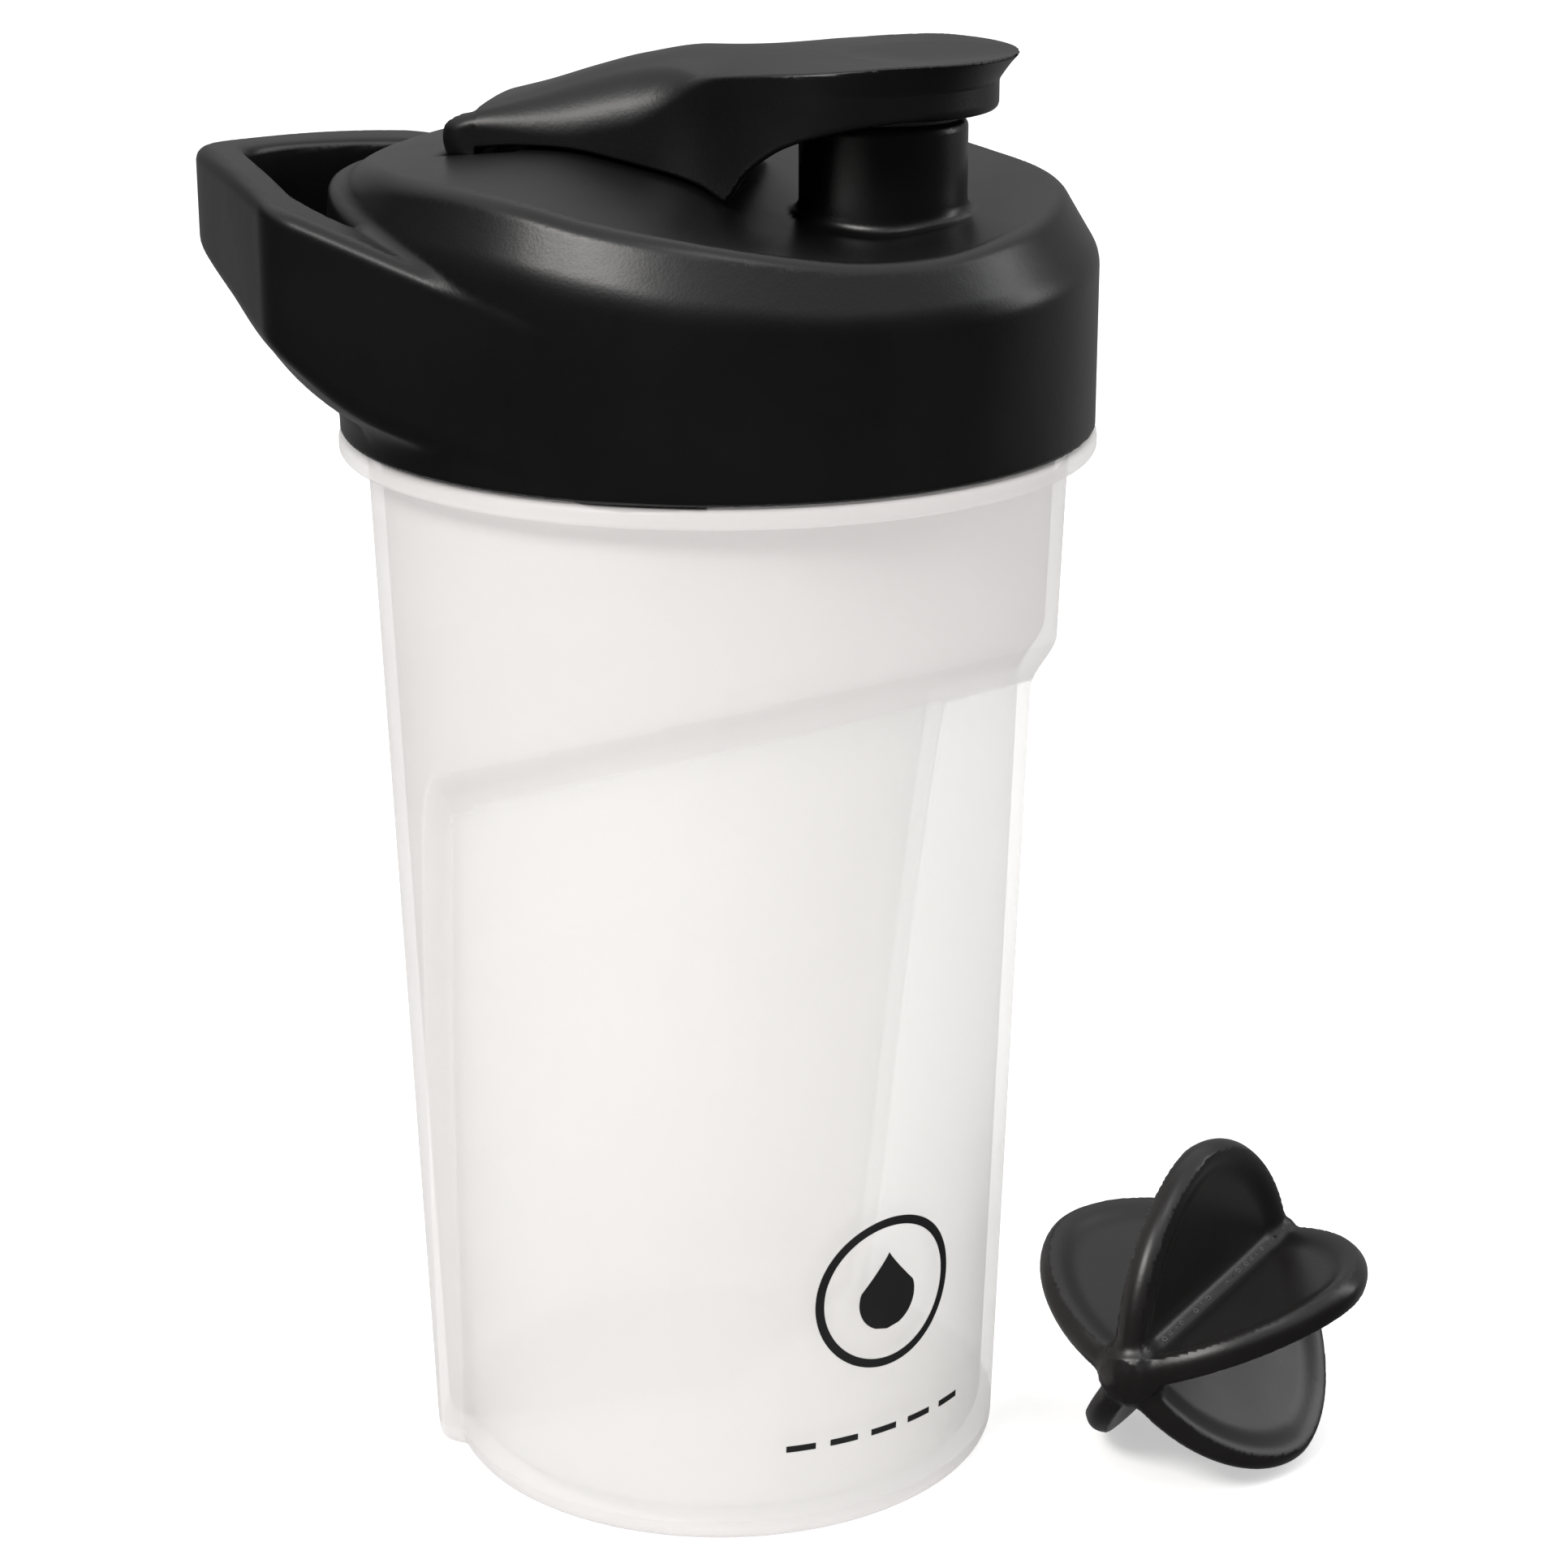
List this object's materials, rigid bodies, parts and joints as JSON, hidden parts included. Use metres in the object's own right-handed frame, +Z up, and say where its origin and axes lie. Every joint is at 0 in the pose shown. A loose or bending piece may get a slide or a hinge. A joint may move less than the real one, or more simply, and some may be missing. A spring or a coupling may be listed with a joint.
{
  "type": "protein shaker bottle",
  "caption": "Frosted tapered shaker cup with a grip recess, a black screw lid with carry loop, round spout and flip cap, and a loose bladed mixer beside it.",
  "frame": {"origin": "centre of the cup's base, in the plane that the cup and the mixer stand on", "axes": "+Z up along the cup's axis; +X towards the side of the lid that the spout is on; +Y to the left when looking along +X"},
  "size_m": [0.1567, 0.0966, 0.1893],
  "materials": {
    "cup_plastic": "frosted translucent polypropylene",
    "lid_plastic": "satin black polypropylene",
    "cap_plastic": "satin black polypropylene with a fine moulded grain",
    "seal_rubber": "soft grey silicone",
    "plug_rubber": "soft black silicone",
    "mixer_plastic": "semi-gloss black plastic"
  },
  "bodies": {
    "cup": {"cup": "cup_plastic"},
    "lid_ring": {"lid_gasket": "seal_rubber"},
    "lid": {"lid": "lid_plastic"},
    "flip_cap": {"flip_cap": "cap_plastic", "spout_seal": "plug_rubber"},
    "mixer": {"mixer": "mixer_plastic"}
  },
  "joints": [
    {"name": "lid_lift", "type": "slide", "parent": "cup", "child": "lid_ring", "axis": [0, 0, 1], "range_m": [0, 0.02]},
    {"name": "lid_turn", "type": "hinge", "parent": "lid_ring", "child": "lid", "pos_m": [0, 0, 0.15], "axis": [0, 0, 1], "range_deg": [0, 720]},
    {"name": "cap_hinge", "type": "hinge", "parent": "lid", "child": "flip_cap", "pos_m": [-0.0278, 0, 0.17737], "axis": [0, -1, 0], "range_deg": [0, 100]},
    {"name": "mixer_slide", "type": "slide", "parent": "cup", "child": "mixer", "axis": [1, 0, 0], "range_m": [0, 0.08]}
  ],
  "couplings": [
    {"joint": "lid_lift", "follows": "lid_turn", "m_per_rad": 0.0015915}
  ]
}
